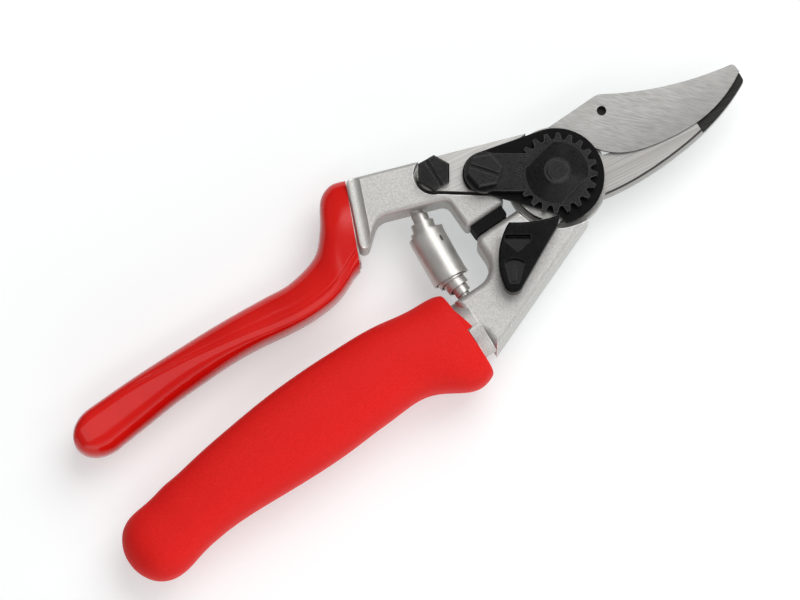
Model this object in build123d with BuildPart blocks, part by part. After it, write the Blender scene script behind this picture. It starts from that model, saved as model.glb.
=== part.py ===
from build123d import *
import math
import os

os.makedirs("parts", exist_ok=True)

# Bypass pruning shears with a rotating lower grip, drawn closed and lying flat.
# Frame in millimetres: +X to the blade tip, +Y to the upper handle, +Z up.
# The origin is on the pivot axis, at the underside of the bolt head.

# Clearances
run_gap = 0.05            # between flat faces that slide
fit = 0.05                # radial, round parts that turn
seat = 0.02               # radial, round parts fixed together
pass_gap = 0.3            # between parts that pass each other

# Heights of the pivot stack
bolt_head_height = 3.0
eye_thickness = 5.5
anvil_thickness = 4.0
blade_thickness = 3.4
plate_thickness = 1.5
segment_thickness = 2.2
nut_cone_height = 3.3
thread_proud = 0.4

eye_bottom = bolt_head_height
anvil_bottom = eye_bottom + eye_thickness
anvil_top = anvil_bottom + anvil_thickness
blade_bottom = anvil_top + run_gap
blade_top = blade_bottom + blade_thickness
deck = blade_top + run_gap            # top faces of both arms
plate_top = deck + plate_thickness
segment_top = plate_top + segment_thickness
nut_top = segment_top + nut_cone_height

# Pivot radii
bolt_head_radius = 8.5
bolt_radius = 4.0
thread_radius = 2.85
bush_wall = 1.6
eye_radius = 12.5
anvil_disc_radius = 13.2
blade_disc_radius = 11.9
seam_gap = 0.7            # between the anvil's heel and the lower arm
step_gap = 0.3            # between the anvil's disc and its raised tang
arm_front_radius = anvil_disc_radius + seam_gap
tang_inner_radius = anvil_disc_radius + step_gap
bush_radius = bolt_radius + fit + bush_wall

# Upper arm, measured along and in from its straight outer edge
upper_fall = 20.0         # degrees that the edge falls towards the pivot
neck_width = 11.6
head_length = 53.0
head_rear_width = 23.5
head_lean = 1.4           # the inner rear corner lies this far behind the outer one
flare_run = 5.7           # the flare begins this far ahead of the arm's rear
nose_rear = -26.9
nose_front = -15.0
flare_round = 4.0
rear_round = 1.6
nose_root_round = 2.5
nose_round = 1.2
upper_rim_round = 1.2
flute_radius = 2.4        # hollow across the arm beside the coating
flute_depth = 0.7
flute_setback = 2.0

# Stop between the arms
shoulder_face = -1.6
stop_gap = 0.3
bumper_thickness = 3.1
bumper_recess = 1.5       # bumper lies this far inside the arm's top and underside
bumper_round = 0.9
nose_face = shoulder_face + stop_gap + bumper_thickness

# Anvil tang
tang_end = 30.6           # along the outer edge, from the eye to the tang's screw
tang_half_width = 4.4
tang_spread = 16.5        # degrees that the tang's inner edge leaves the outer edge
tang_gap = 0.9            # dark joint round the tang

# Anvil hook
reach = 54.5              # pivot to the tips
hook_tip = Vector(reach - 0.2, -6.4)
hook_tip_inner = Vector(reach, -3.6)
hook_tip_round = 1.2
hook_bow = [Vector(4.5, -10.6), Vector(12.0, -12.1), Vector(27.3, -12.7), Vector(42.3, -10.8)]
hook_throat = Vector(33.0, -6.0)
hook_root_angle = -8.0    # where the inner edge meets the disc
hook_chamfer = 1.0
hook_step_x = 37.8        # the tip is ground lower than the flat behind it
hook_step_depth = 0.7

# Cutting blade
blade_back = 11.5
blade_corner = 20.5
blade_corner_round = 3.5
blade_hollow = Vector(36.0, 3.6)
blade_tip = Vector(reach - 0.3, -1.5)
blade_tip_low = Vector(reach - 0.1, -4.0)
blade_tip_round = 1.2
blade_belly = [Vector(38.5, -8.7), Vector(27.0, -7.6), Vector(17.4, -4.3)]
blade_root = Vector(11.6, 1.8)
blade_edge_height = 0.5
grind_angle = -5.0        # degrees, the upper face falls across this line to the edge
grind_width = 19.5        # the fall takes the blade down to its edge over this width
hole_x = 19.1
hole_y = 7.4
hole_radius = 1.2
hole_floor = 0.8          # metal left under the blind hole

# Blade tail, let into the lower arm under the catch
tail_gap = 0.1
tail_upper = Vector(-9.6, -7.4)
tail_lower = Vector(-5.5, -10.2)
tail_heel = Vector(-9.5, -11.7)
tail_end = Vector(-19.5, -13.8)
tail_wrap = 3.3           # round the catch screw
rivet_radius = 1.2
rivet_setbacks = [(1.6, -141.8), (5.9, -144.9)]    # behind the arm's front, and angle

# Lock plate, keeper and nut
plate_radius = 12.1
plate_lobe = 12.9
plate_lobe_angle = -113.6
plate_notch_radius = 10.2
plate_notch_angle = -123.8
keeper_reach = 18.6       # pivot to keeper screw
keeper_angle = 145.0
plate_end_radius = 5.7
segment_end_radius = 5.3
segment_width = 9.8
mesh_gap = 0.2
nut_teeth = 20
nut_tip_radius = 10.4
nut_root_radius = 8.7
tooth_root_width = 1.9
tooth_tip_width = 0.9
nut_cone_radius = 8.1
nut_cone_top_radius = 3.4
nut_flats = 12.9          # across the two spanner flats
nut_flat_angle = -79.5

# Slotted hexagon screws
hex_flats = 8.0
hex_height = 3.0
hex_edge = 0.4
slot_width = 1.1
slot_depth = 0.9
shank_radius = 2.4
shank_bottom_wall = 1.0   # metal left under a blind screw hole
screw_floor = eye_bottom + shank_bottom_wall

# Thumb catch, placed from its screw
catch_x = -17.4
catch_y = -7.4
catch_thickness = 4.6
catch_washer_thickness = 0.3
catch_washer_radius = 4.4
catch_beak = Vector(11.8, -2.1)
catch_beak_back = Vector(9.6, -4.1)
catch_crown = Vector(-0.2, 3.7)
catch_hollow = Vector(5.9, 0.0)
catch_tail_outer = Vector(-6.4, -11.9)
catch_tail_tip = Vector(-9.2, -12.3)
catch_tail_inner = Vector(-10.7, -9.8)
catch_side = Vector(-7.1, -1.7)
catch_rim_round = 0.6
catch_crown_round = 1.6
catch_beak_round = 0.5
catch_head_height = 2.2   # of its screw, under the arm
catch_hole_depth = 2.6
catch_facing = 55.5       # degrees, the way that the thumb scoops rise against
nail_scoop_foot = -4.9    # where its floor meets the face, from the screw
nail_scoop_fall = 17.0    # degrees
nail_scoop_half = 3.4
nail_scoop_side = 2.9
nail_scoop_top = 4.4
thumb_scoop_foot = -13.2
thumb_scoop_fall = 9.0
thumb_scoop_half = 2.6
thumb_scoop_shift = -0.8  # its middle, to the side of the screw
thumb_scoop_side = 5.6
thumb_scoop_top = 6.7
thumb_scoop_end = 1.2     # half width at its foot
thumb_rib_width = 0.9
thumb_rib_length = 4.2
thumb_rib_height = 0.5

# Lower arm
lower_fall = 20.9         # degrees that its outer edge falls to the rear
lower_front_angle = -88.0
shoulder_rear = -27.0
shoulder_round = 2.2
seat_face = -12.2         # spring seat
seat_round = 5.5
lower_rim_round = 1.8
collar_face = -38.4
tongue_length = 1.8       # the arm's end runs on beside the grip's tab by this much
tongue_start = -23.5
tongue_side = -19.5
collar_length = 3.4
collar_radius = 8.0
stop_radius = 9.5
stop_start = 97.0         # degrees round the grip's axis, from +Y up
stop_sweep = 60.0

# Rotating grip
grip_axis_y = -19.8
grip_axis_z = 9.3
spindle_radius = 4.0
spindle_root = 8.0        # length held in the arm, behind the collar's face
spindle_end = -124.0
liner_wall = 1.9
sleeve_front = -42.0
bore_end = -131.0
front_recess = 1.0
thrust_washer_thickness = 0.5
thrust_washer_radius = 7.4
retaining_washer_thickness = 1.2
retaining_washer_radius = 5.3
retaining_head_height = 2.6
retaining_head_radius = 3.6
retaining_shank_radius = 2.0
retaining_shank_length = 12.0
end_play = 0.2
tab_length = 1.5
tab_start = 50.0
tab_sweep = 44.0
tab_thickness = 1.2
sleeve_rim_round = 1.0

# Sleeve sections: distance behind the front, sides towards +Y and -Y, underside, top
sleeve_rows = [
    (0.0, -8.6, -32.6, 0.8, 19.8),
    (4.2, -7.2, -33.9, 0.3, 20.2),
    (9.0, -6.9, -32.4, 0.1, 20.4),
    (15.5, -5.9, -28.6, 0.1, 20.6),
    (23.0, -4.9, -27.5, 0.1, 20.8),
    (31.0, -4.6, -27.9, 0.1, 21.0),
    (39.0, -4.4, -28.3, 0.1, 21.0),
    (47.0, -4.5, -28.5, 0.1, 21.0),
    (54.5, -4.9, -28.3, 0.1, 20.8),
    (62.0, -5.6, -27.9, 0.1, 20.5),
    (71.0, -6.6, -27.4, 0.1, 20.1),
    (81.0, -8.1, -27.6, 0.2, 19.4),
    (89.0, -9.2, -28.9, 0.6, 18.8),
    (96.0, -10.2, -30.1, 1.0, 18.4),
]
sleeve_end_length = 8.9

# Upper grip coating
coat_wall = 1.8
coat_overlap = 0.7        # the coating stands proud of the arm's sides by this much
coat_end_length = 8.3
oval_power = 2.6          # 2 is an ellipse, more is squarer
oval_points = 16
end_shares = [0.5, 0.8, 0.95, 0.995]    # how far along a rounded end its sections lie

# Spring between the arms: a flat strip wound as a volute that steps down at both ends
spring_along = 37.0       # top end, along the upper arm
spring_gap = 0.7          # between the spring's ends and the arms
spring_foot_x = -36.9
spring_height = 9.3
barrel_length = 13.6
strip_thickness = 0.45
strip_gap = 0.43          # between one turn and the next
spring_bore = 2.1         # radius inside the innermost turn
spring_half_turns = 7
barrel_half_turns = 2     # the outermost ones, which make the barrel
strip_end_angle = 50.0    # the strip's outer end, round the spring from straight up
nub_gap = 0.4
nub_length = 3.6

keeper = Vector(keeper_reach, 0).rotate(Axis.Z, keeper_angle)
catch = Vector(catch_x, catch_y)
rise = math.radians(upper_fall)
along_edge = Vector(-math.cos(rise), math.sin(rise))
in_from_edge = Vector(-math.sin(rise), -math.cos(rise))
edge_start = in_from_edge * -eye_radius


def upper(along, inward):
    """Point on the upper arm, along its outer edge from the eye and in from that edge."""
    return edge_start + along_edge * along + in_from_edge * inward


def neck_at(x):
    """Point of the neck's inner edge at one x."""
    along = (x - upper(0, neck_width).X) / along_edge.X
    return upper(along, neck_width)


def head_rear(inward):
    """Point of the arm's rear face, where the coating begins."""
    return upper(head_length + head_lean * inward / head_rear_width, inward)


def polar(radius, degrees):
    """Point round the pivot."""
    return Vector(radius, 0).rotate(Axis.Z, degrees)


def level(height):
    """Plane at one height above the table."""
    return Plane.XY.offset(height)


def corner(sketch, point):
    """Corner of a sketch next to a point."""
    return sketch.vertices().sort_by_distance(point)[0]


def oval(plane, width, height, crown=0):
    """Full oval on a plane, squarer than an ellipse, with its crown moved to one side."""
    points = []
    for step in range(oval_points):
        angle = 2 * math.pi * step / oval_points
        across = math.copysign(abs(math.cos(angle)) ** (2 / oval_power), math.cos(angle))
        upward = math.copysign(abs(math.sin(angle)) ** (2 / oval_power), math.sin(angle))
        lean = crown * max(upward, 0) * (1 - abs(across))
        points.append(((across + lean) * width / 2, upward * height / 2))
    with BuildSketch(plane) as section:
        with BuildLine():
            Spline(*points, periodic=True)
        make_face()
    return section.sketch


def rounded_end(row, way):
    """Sections of a grip's round end, from its last full section on along a way."""
    outer, inner, bottom, top, crown = row
    middle = (outer + inner) * 0.5
    for share in end_shares:
        size = math.sqrt(1 - share ** 2)
        trim = (1 - size) * (top - bottom) / 2
        place = middle + way * share
        reach_out = (outer - middle) * size
        yield place + reach_out, place - reach_out, bottom + trim, top - trim, crown


def grip_section(row, inset=0):
    """One section of a grip, drawn in by a wall thickness."""
    outer, inner, bottom, top, crown = row
    middle = (outer + inner) * 0.5 + Vector(0, 0, (bottom + top) / 2)
    across = outer - inner
    plane = Plane(origin=middle, x_dir=across, z_dir=Vector(-across.Y, across.X))
    return oval(plane, across.length - 2 * inset, top - bottom - 2 * inset, crown)


def hex_screw(place, seat_height, tip_height, head_height, corner_angle, slot_angle):
    """Slotted hexagon screw, from the seat of its head to its tip, downwards or upwards."""
    up = math.copysign(1, seat_height - tip_height)
    seat_plane = Plane(origin=(place.X, place.Y, seat_height), z_dir=(0, 0, up))
    with BuildPart() as screw:
        with BuildSketch(seat_plane):
            RegularPolygon(hex_flats / 2, 6, major_radius=False, rotation=corner_angle)
        extrude(amount=head_height)
        chamfer(screw.faces().sort_by(Axis((0, 0, 0), (0, 0, up)))[-1].edges(), hex_edge)
        with BuildSketch(seat_plane.offset(head_height)):
            Rectangle(2 * hex_flats, slot_width, rotation=slot_angle)
        extrude(amount=-slot_depth, mode=Mode.SUBTRACT)
        with BuildSketch(seat_plane):
            Circle(shank_radius)
        extrude(amount=-abs(seat_height - tip_height))
    return screw.part


# Tang of the anvil and its bed in the upper arm

anvil_screw_place = upper(tang_end, tang_half_width)
tang_fall = math.tan(math.radians(tang_spread))
tang_root = upper(0, 2 * tang_half_width + tang_end * tang_fall)

with BuildSketch() as tang_outline:
    with BuildLine():
        ThreePointArc(
            upper(tang_end, 0),
            upper(tang_end + tang_half_width, tang_half_width),
            upper(tang_end, 2 * tang_half_width),
        )
        Polyline(upper(tang_end, 2 * tang_half_width), tang_root, upper(0, 0), upper(tang_end, 0))
    make_face()

with BuildSketch() as tang_bed:
    offset(tang_outline.sketch, amount=tang_gap)

# Upper grip sections from the arm's outer rear corner on: outer and inner edge points,
# underside, top, and how far the crown lies to the outer side

coat_rows = [
    ((-7.9, -0.1), (-14.1, -23.1), 1.6, 16.8, -0.75),
    ((-12.5, -6.5), (-17.7, -24.2), 0.8, 17.0, -0.6),
    ((-17.7, -11.5), (-21.3, -24.7), 0.6, 17.0, -0.4),
    ((-26.5, -13.5), (-27.5, -24.7), 0.4, 16.8, -0.15),
    ((-34.0, -12.9), (-34.5, -24.0), 0.4, 16.6, -0.05),
    ((-41.5, -12.2), (-42.0, -22.8), 0.4, 16.4, 0.0),
    ((-50.5, -11.6), (-50.5, -22.1), 0.4, 16.2, 0.1),
    ((-59.5, -11.3), (-59.5, -22.1), 0.4, 16.0, 0.2),
    ((-68.0, -11.1), (-68.0, -22.3), 0.4, 16.0, 0.35),
    ((-76.5, -11.1), (-76.5, -23.0), 0.4, 16.2, 0.5),
    ((-87.5, -11.3), (-87.5, -23.9), 0.4, 16.4, 0.6),
]
coat_start = head_rear(0)
coat_sections = [(head_rear(-coat_overlap), head_rear(head_rear_width + coat_overlap), 2.2, 16.6, -0.8)]
for outer, inner, bottom, top, crown in coat_rows:
    coat_sections.append((coat_start + Vector(*outer), coat_start + Vector(*inner), bottom, top, crown))
coat_end = rounded_end(coat_sections[-1], Vector(-coat_end_length, 0))

with BuildPart() as coat_body:
    loft([grip_section(row) for row in [*coat_sections, *coat_end]])

with BuildPart() as grip_core:
    loft([grip_section(row, coat_wall) for row in coat_sections])

# Spring axis and the pitch of its turns
spring_rise = Vector(0, 0, spring_height)
spring_top = upper(spring_along, neck_width + spring_gap) + spring_rise
spring_foot = Vector(spring_foot_x, seat_face + spring_gap) + spring_rise
spring_axis = (spring_foot - spring_top).normalized()
spring_length = (spring_foot - spring_top).length
turn_pitch = strip_thickness + strip_gap
nub_radius = spring_bore - nub_gap

# Upper handle: forged arm with the eye, the nose and the core of the grip

with BuildSketch(level(eye_bottom)) as head_outline:
    Circle(eye_radius)
    with BuildLine():
        Polyline(
            upper(0, 0),
            head_rear(0),
            head_rear(head_rear_width),
            upper(head_length - flare_run, neck_width),
            neck_at(nose_rear),
            (nose_rear, nose_face),
            (nose_front, nose_face),
            neck_at(nose_front),
            upper(0, neck_width),
            close=True,
        )
    make_face()
    base = Vector(0, 0, eye_bottom)
    fillet(corner(head_outline, upper(head_length - flare_run, neck_width) + base), flare_round)
    fillet(corner(head_outline, neck_at(nose_rear) + base), nose_root_round)
    fillet(corner(head_outline, head_rear(0) + base), rear_round)
    fillet(corner(head_outline, head_rear(head_rear_width) + base), rear_round)
    fillet(corner(head_outline, Vector(nose_rear, nose_face) + base), nose_round)
    fillet(corner(head_outline, Vector(nose_front, nose_face) + base), nose_round)

with BuildPart() as upper_handle:
    add(head_outline.sketch)
    extrude(amount=deck - eye_bottom)
    rim = upper_handle.faces().sort_by(Axis.Z)[-1].outer_wire().edges()
    fillet(rim, upper_rim_round)
    floor_rim = upper_handle.faces().sort_by(Axis.Z)[0].outer_wire().edges()
    fillet(floor_rim, upper_rim_round)
    with BuildSketch(level(anvil_bottom)):
        Circle(tang_inner_radius)
        add(tang_bed.sketch)
    extrude(amount=deck - anvil_bottom, mode=Mode.SUBTRACT)
    add(grip_core.part)
    flute_line = upper(head_length - flute_setback, 0)
    flute_end = upper(head_length + head_lean - flute_setback, head_rear_width)
    flute_rise = Vector(0, 0, deck + flute_radius - flute_depth)
    with BuildSketch(Plane(origin=flute_line + flute_rise, z_dir=flute_end - flute_line)):
        Circle(flute_radius)
    extrude(amount=2 * head_rear_width, both=True, mode=Mode.SUBTRACT)
    with BuildSketch(level(eye_bottom)):
        Circle(bolt_radius + seat)
    extrude(amount=eye_thickness, mode=Mode.SUBTRACT)
    for place in (anvil_screw_place, keeper):
        with BuildSketch(Plane(origin=(place.X, place.Y, screw_floor))):
            Circle(shank_radius + seat)
        extrude(amount=deck - eye_bottom, mode=Mode.SUBTRACT)
    with BuildSketch(Plane(origin=spring_top + spring_axis * nub_length, z_dir=-spring_axis)):
        Circle(nub_radius)
    extrude(until=Until.NEXT)

upper_handle.part.label = "upper_handle"
export_step(upper_handle.part, "parts/upper_handle.step")

with BuildPart() as upper_grip_coating:
    add(coat_body.part)
    add(grip_core.part, mode=Mode.SUBTRACT)

upper_grip_coating.part.label = "upper_grip_coating"
export_step(upper_grip_coating.part, "parts/upper_grip_coating.step")

# Anvil: hook, pivot disc and raised tang in one forging

hook_root = polar(anvil_disc_radius, hook_root_angle)

with BuildPart() as anvil_blade:
    with BuildSketch(level(anvil_bottom)) as hook_outline:
        with BuildLine():
            Spline(*hook_bow, hook_tip)
            Line(hook_tip, hook_tip_inner)
            ThreePointArc(hook_tip_inner, hook_throat, hook_root)
            Polyline(hook_root, (0, 0), hook_bow[0])
        make_face()
        fillet(corner(hook_outline, hook_tip + Vector(0, 0, anvil_bottom)), hook_tip_round)
    extrude(amount=anvil_thickness)
    bow_edge = anvil_blade.edges().group_by(Axis.Z)[-1].sort_by_distance(
        hook_bow[2] + Vector(0, 0, anvil_top))[0]
    chamfer(bow_edge, hook_chamfer)
    with BuildSketch(level(anvil_bottom)):
        Circle(anvil_disc_radius)
    extrude(amount=anvil_thickness)
    with BuildSketch(level(anvil_top)):
        with Locations((hook_step_x + hook_tip.X, hook_tip.Y)):
            Rectangle(2 * hook_tip.X, 2 * hook_tip.X, align=(Align.CENTER, Align.CENTER))
    extrude(amount=-hook_step_depth, mode=Mode.SUBTRACT)
    with BuildSketch(level(anvil_bottom)):
        add(tang_outline.sketch)
    extrude(amount=deck - anvil_bottom)
    with BuildSketch(level(anvil_top)):
        Circle(tang_inner_radius)
    extrude(amount=deck - anvil_top, mode=Mode.SUBTRACT)
    with BuildSketch(level(anvil_bottom)):
        Circle(bolt_radius + seat)
    extrude(amount=anvil_thickness, mode=Mode.SUBTRACT)
    for place in (anvil_screw_place, keeper):
        with BuildSketch(Plane(origin=(place.X, place.Y, anvil_bottom))):
            Circle(shank_radius + seat)
        extrude(amount=deck - anvil_bottom, mode=Mode.SUBTRACT)

anvil_blade.part.label = "anvil_blade"
export_step(anvil_blade.part, "parts/anvil_blade.step")

# Cutting blade, its upper face ground down from the back to the edge

tail_side = catch + Vector(0, tail_wrap)
rivet_places = [polar(arm_front_radius + setback, angle) for setback, angle in rivet_setbacks]
grind_drop = blade_thickness - blade_edge_height
grind_plane = Plane(
    origin=(blade_corner, blade_back, blade_top),
    x_dir=polar(1, grind_angle - 90),
    z_dir=polar(1, grind_angle),
)

with BuildPart() as cutting_blade:
    with BuildSketch(level(blade_bottom)) as blade_outline:
        with BuildLine():
            Polyline(blade_root, (0, 0), (0, blade_back), (blade_corner, blade_back))
            ThreePointArc((blade_corner, blade_back), blade_hollow, blade_tip)
            Line(blade_tip, blade_tip_low)
            Spline(blade_tip_low, *blade_belly, blade_root)
        make_face()
        base = Vector(0, 0, blade_bottom)
        fillet(corner(blade_outline, Vector(blade_corner, blade_back) + base), blade_corner_round)
        fillet(corner(blade_outline, blade_tip + base), blade_tip_round)
    extrude(amount=blade_thickness)
    with BuildSketch(grind_plane):
        with BuildLine():
            Polyline(
                (0, 0),
                (2 * grind_width, 2 * grind_drop),
                (2 * grind_width, -grind_drop),
                (0, -grind_drop),
                close=True,
            )
        make_face()
    extrude(amount=2 * reach, both=True, mode=Mode.SUBTRACT)
    with BuildSketch(level(blade_bottom)):
        Circle(blade_disc_radius)
        with BuildLine():
            Polyline((0, 0), tail_upper, tail_side)
            ThreePointArc(tail_side, catch + polar(tail_wrap, 135), catch + polar(tail_wrap, 180))
            Polyline(catch + polar(tail_wrap, 180), tail_end, tail_heel, tail_lower, (0, 0))
        make_face()
    extrude(amount=blade_thickness)
    with BuildSketch(level(blade_bottom)):
        Circle(bush_radius + seat)
        with Locations(catch):
            Circle(shank_radius + seat)
        with Locations(*rivet_places):
            Circle(rivet_radius + seat)
    extrude(amount=blade_thickness, mode=Mode.SUBTRACT)
    with BuildSketch(level(blade_bottom + hole_floor)):
        with Locations((hole_x, hole_y)):
            Circle(hole_radius)
    extrude(amount=blade_thickness, mode=Mode.SUBTRACT)

cutting_blade.part.label = "cutting_blade"
export_step(cutting_blade.part, "parts/cutting_blade.step")

with BuildPart() as pivot_bush:
    with BuildSketch(level(blade_bottom)):
        Circle(bush_radius)
        Circle(bolt_radius + fit, mode=Mode.SUBTRACT)
    extrude(amount=blade_thickness)

pivot_bush.part.label = "pivot_bush"
export_step(pivot_bush.part, "parts/pivot_bush.step")

# Lower arm: shoulder, spring seat, collar and stop block

lower_front = polar(arm_front_radius, lower_front_angle)
lower_drop = math.tan(math.radians(lower_fall))
lower_rear = Vector(collar_face, lower_front.Y + (collar_face - lower_front.X) * lower_drop)
shoulder_front = Vector(-math.sqrt(arm_front_radius ** 2 - shoulder_face ** 2), shoulder_face)
front_middle = polar(arm_front_radius, -130)
collar_plane = Plane(origin=(collar_face, grip_axis_y, grip_axis_z), x_dir=(0, 1, 0), z_dir=(1, 0, 0))
grip_bore_radius = spindle_radius + fit

with BuildSketch() as tail_bed:
    with BuildLine():
        Polyline((0, 0), tail_upper, tail_side)
        ThreePointArc(tail_side, catch + polar(tail_wrap, 135), catch + polar(tail_wrap, 180))
        Polyline(catch + polar(tail_wrap, 180), tail_end, tail_heel, tail_lower, (0, 0))
    make_face()
    offset(amount=tail_gap)

with BuildPart() as lower_arm:
    with BuildSketch(level(eye_bottom)) as lower_outline:
        with BuildLine():
            Polyline(
                lower_front,
                lower_rear,
                (collar_face, tongue_start),
                (collar_face - tongue_length, tongue_side),
                (collar_face - tongue_length, seat_face),
                (shoulder_rear, seat_face),
                (shoulder_rear, shoulder_face),
                shoulder_front,
            )
            ThreePointArc(shoulder_front, front_middle, lower_front)
        make_face()
        base = Vector(0, 0, eye_bottom)
        fillet(corner(lower_outline, Vector(shoulder_rear, seat_face) + base), seat_round)
        fillet(corner(lower_outline, Vector(shoulder_rear, shoulder_face) + base), shoulder_round)
    extrude(amount=deck - eye_bottom)
    arm_rim = lower_arm.faces().sort_by(Axis.Z)[-1].outer_wire().edges()
    front_arc = arm_rim.filter_by(GeomType.CIRCLE).sort_by(SortBy.RADIUS)[-1]
    fillet([edge for edge in arm_rim if edge != front_arc], lower_rim_round)
    with BuildSketch(collar_plane):
        Circle(collar_radius)
    extrude(amount=-collar_length)
    with BuildSketch(collar_plane):
        with BuildLine():
            Line((0, 0), polar(stop_radius, stop_start))
            CenterArc((0, 0), stop_radius, stop_start, stop_sweep)
            Line(polar(stop_radius, stop_start + stop_sweep), (0, 0))
        make_face()
    extrude(amount=-collar_length)
    with BuildSketch(collar_plane.offset(-collar_length)):
        Circle(spindle_radius + seat)
    extrude(amount=collar_length + spindle_root, mode=Mode.SUBTRACT)
    with BuildSketch(level(blade_bottom)):
        add(tail_bed.sketch)
    extrude(amount=deck - blade_bottom, mode=Mode.SUBTRACT)
    with BuildSketch(level(eye_bottom)):
        with Locations(*rivet_places):
            Circle(rivet_radius + seat)
    extrude(amount=deck - eye_bottom, mode=Mode.SUBTRACT)
    with BuildSketch(level(eye_bottom)):
        with Locations(catch):
            Circle(shank_radius + seat)
    extrude(amount=deck - eye_bottom, mode=Mode.SUBTRACT)
    with BuildSketch(Plane(origin=spring_foot - spring_axis * nub_length, z_dir=spring_axis)):
        Circle(nub_radius)
    extrude(until=Until.NEXT)

lower_arm.part.label = "lower_arm"
export_step(lower_arm.part, "parts/lower_arm.step")

with BuildPart() as blade_rivets:
    with BuildSketch(level(eye_bottom)):
        with Locations(*rivet_places):
            Circle(rivet_radius)
    extrude(amount=blade_top - eye_bottom)

blade_rivets.part.label = "blade_rivets"
export_step(blade_rivets.part, "parts/blade_rivets.step")

# Pivot bolt, turned

with BuildPart() as pivot_bolt:
    with BuildSketch():
        Circle(bolt_head_radius)
    extrude(amount=bolt_head_height)
    with BuildSketch(level(bolt_head_height)):
        Circle(bolt_radius)
    extrude(amount=deck - bolt_head_height)
    with BuildSketch(level(deck)):
        Circle(thread_radius)
    extrude(amount=nut_top + thread_proud - deck)
    chamfer(pivot_bolt.edges().group_by(Axis.Z)[-1], thread_proud)

pivot_bolt.part.label = "pivot_bolt"
export_step(pivot_bolt.part, "parts/pivot_bolt.step")

# Lock plate: teardrop with a notch for the catch

tangent_angle = math.degrees(math.acos((plate_radius - plate_end_radius) / keeper_reach))
plate_top_angle = keeper_angle - tangent_angle
plate_shoulder = polar(plate_radius, plate_top_angle)
plate_tail = keeper + polar(plate_end_radius, plate_top_angle)
plate_lobe_point = polar(plate_lobe, plate_lobe_angle)
plate_notch = polar(plate_notch_radius, plate_notch_angle)
notch_line = keeper - plate_notch
notch_lean = math.degrees(math.asin(plate_end_radius / notch_line.length))
plate_low_angle = math.degrees(math.atan2(notch_line.Y, notch_line.X)) + 90 - notch_lean
plate_low = keeper + polar(plate_end_radius, plate_low_angle)

with BuildPart() as lock_plate:
    with BuildSketch(level(deck)):
        with BuildLine():
            ThreePointArc(plate_shoulder, polar(plate_radius, -20), plate_lobe_point)
            Polyline(plate_lobe_point, plate_notch, plate_low)
            ThreePointArc(plate_low, keeper + polar(plate_end_radius, keeper_angle), plate_tail)
            Line(plate_tail, plate_shoulder)
        make_face()
        Circle(thread_radius + seat, mode=Mode.SUBTRACT)
        with Locations(keeper):
            Circle(shank_radius + seat, mode=Mode.SUBTRACT)
    extrude(amount=plate_thickness)

lock_plate.part.label = "lock_plate"
export_step(lock_plate.part, "parts/lock_plate.step")

# Adjusting nut: gear-like flange, cone and two flats

with BuildSketch() as nut_profile:
    Circle(nut_root_radius)
    with PolarLocations(0, nut_teeth):
        Polygon(
            (0, tooth_root_width / 2),
            (nut_root_radius, tooth_root_width / 2),
            (nut_tip_radius, tooth_tip_width / 2),
            (nut_tip_radius, -tooth_tip_width / 2),
            (nut_root_radius, -tooth_root_width / 2),
            (0, -tooth_root_width / 2),
            align=None,
        )

flat_plane = Plane(
    origin=(0, 0, segment_top),
    x_dir=polar(1, nut_flat_angle),
    z_dir=(0, 0, 1),
)

with BuildPart() as adjusting_nut:
    with BuildSketch(level(plate_top)):
        add(nut_profile.sketch)
    extrude(amount=segment_thickness)
    with BuildSketch(level(segment_top)):
        Circle(nut_cone_radius)
    with BuildSketch(level(nut_top)):
        Circle(nut_cone_top_radius)
    loft()
    with BuildSketch(flat_plane):
        Rectangle(4 * nut_flats, 4 * nut_flats)
        Rectangle(nut_flats, 4 * nut_flats, mode=Mode.SUBTRACT)
    extrude(amount=nut_cone_height, mode=Mode.SUBTRACT)
    with BuildSketch(level(plate_top)):
        Circle(thread_radius + seat)
    extrude(amount=nut_top - plate_top, mode=Mode.SUBTRACT)

adjusting_nut.part.label = "adjusting_nut"
export_step(adjusting_nut.part, "parts/adjusting_nut.step")

# Toothed keeper, cut by the nut's own profile

with BuildSketch() as nut_envelope:
    offset(nut_profile.sketch, amount=mesh_gap)

with BuildPart() as toothed_segment:
    with BuildSketch(level(plate_top)):
        with Locations(keeper):
            Circle(segment_end_radius)
        with Locations(keeper * 0.5):
            Rectangle(keeper_reach, segment_width, rotation=keeper_angle)
        Circle(nut_root_radius + mesh_gap, mode=Mode.SUBTRACT)
        add(nut_envelope.sketch, mode=Mode.SUBTRACT)
        with Locations(keeper):
            Circle(shank_radius + seat, mode=Mode.SUBTRACT)
    extrude(amount=segment_thickness)

toothed_segment.part.label = "toothed_segment"
export_step(toothed_segment.part, "parts/toothed_segment.step")

# Screws

catch_bottom = deck + catch_washer_thickness
catch_top = catch_bottom + catch_thickness
catch_screw_tip = catch_bottom + catch_hole_depth - pass_gap

anvil_screw = hex_screw(anvil_screw_place, deck, screw_floor, hex_height, 55.5, -93)
anvil_screw.label = "anvil_screw"
export_step(anvil_screw, "parts/anvil_screw.step")

segment_screw = hex_screw(keeper, segment_top, screw_floor, hex_height, 37, -53)
segment_screw.label = "segment_screw"
export_step(segment_screw, "parts/segment_screw.step")

catch_screw = hex_screw(catch, eye_bottom, catch_screw_tip, catch_head_height, 10, 40)
catch_screw.label = "catch_screw"
export_step(catch_screw, "parts/catch_screw.step")

# Bumper on the nose

with BuildPart() as bumper_pad:
    with BuildSketch(level(eye_bottom + bumper_recess)) as pad_outline:
        with Locations(((nose_rear + nose_front) / 2, nose_face)):
            Rectangle(
                nose_front - nose_rear - 2 * nose_round,
                bumper_thickness,
                align=(Align.CENTER, Align.MAX),
            )
        fillet(pad_outline.vertices().group_by(Axis.Y)[0], bumper_round)
    extrude(amount=deck - eye_bottom - 2 * bumper_recess)

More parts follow.
